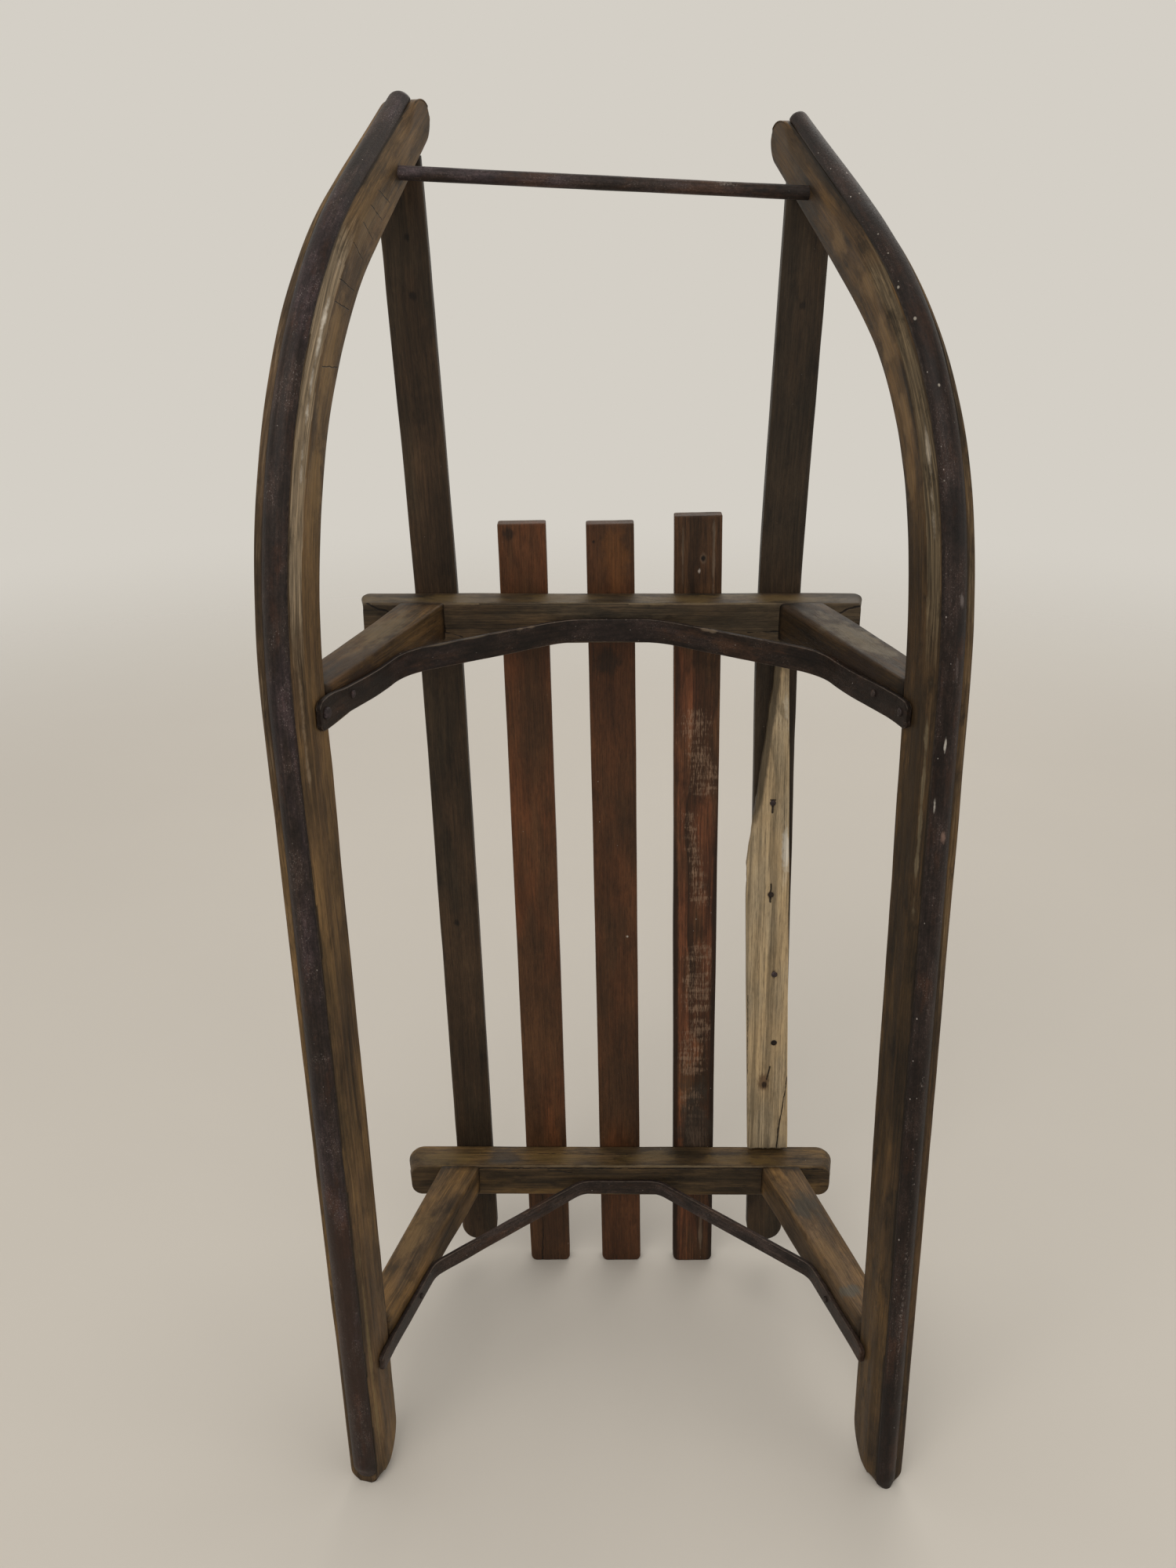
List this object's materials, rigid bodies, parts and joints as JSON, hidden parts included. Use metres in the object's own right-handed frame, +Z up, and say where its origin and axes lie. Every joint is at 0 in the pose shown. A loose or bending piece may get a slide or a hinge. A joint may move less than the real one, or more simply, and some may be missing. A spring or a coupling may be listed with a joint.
{
  "type": "wooden toboggan sled",
  "caption": "Old wooden child's toboggan sled with bent runners, iron shoes, slatted seat and tow rod, stood up on its tail.",
  "frame": {"origin": "middle of the foot of the bounding box, on the floor under the sled as it stands on its tail", "axes": "+Z up the sled from the tails of the runners and slats to the horns, +Y from the iron shoes through the seat, X across the sled. The rider's right side is -X."},
  "size_m": [0.3604, 0.2402, 0.8089],
  "materials": {
    "frame_wood": "old dark oiled hardwood, worn pale at the edges",
    "slat_wood": "old red-brown stained wood, worn",
    "rail_wood": "old dark brown stained wood",
    "pale_wood": "bare split softwood",
    "iron": "dark rusted wrought iron, polished by wear in places"
  },
  "bodies": {
    "root": {"runner_right": "frame_wood", "shoe_right": "iron", "side_rail_right": "rail_wood", "rod_washer_right": "iron", "leg_rear_right": "frame_wood", "leg_front_right": "frame_wood", "runner_left": "frame_wood", "shoe_left": "iron", "side_rail_left": "rail_wood", "rod_washer_left": "iron", "leg_rear_left": "frame_wood", "leg_front_left": "frame_wood", "slat_right": "slat_wood", "slat_middle": "slat_wood", "slat_left": "slat_wood", "bench_rear": "frame_wood", "bench_front": "frame_wood", "strap_rear": "iron", "strap_front": "iron", "tow_rod": "iron", "splint": "pale_wood"}
  },
  "joints": []
}
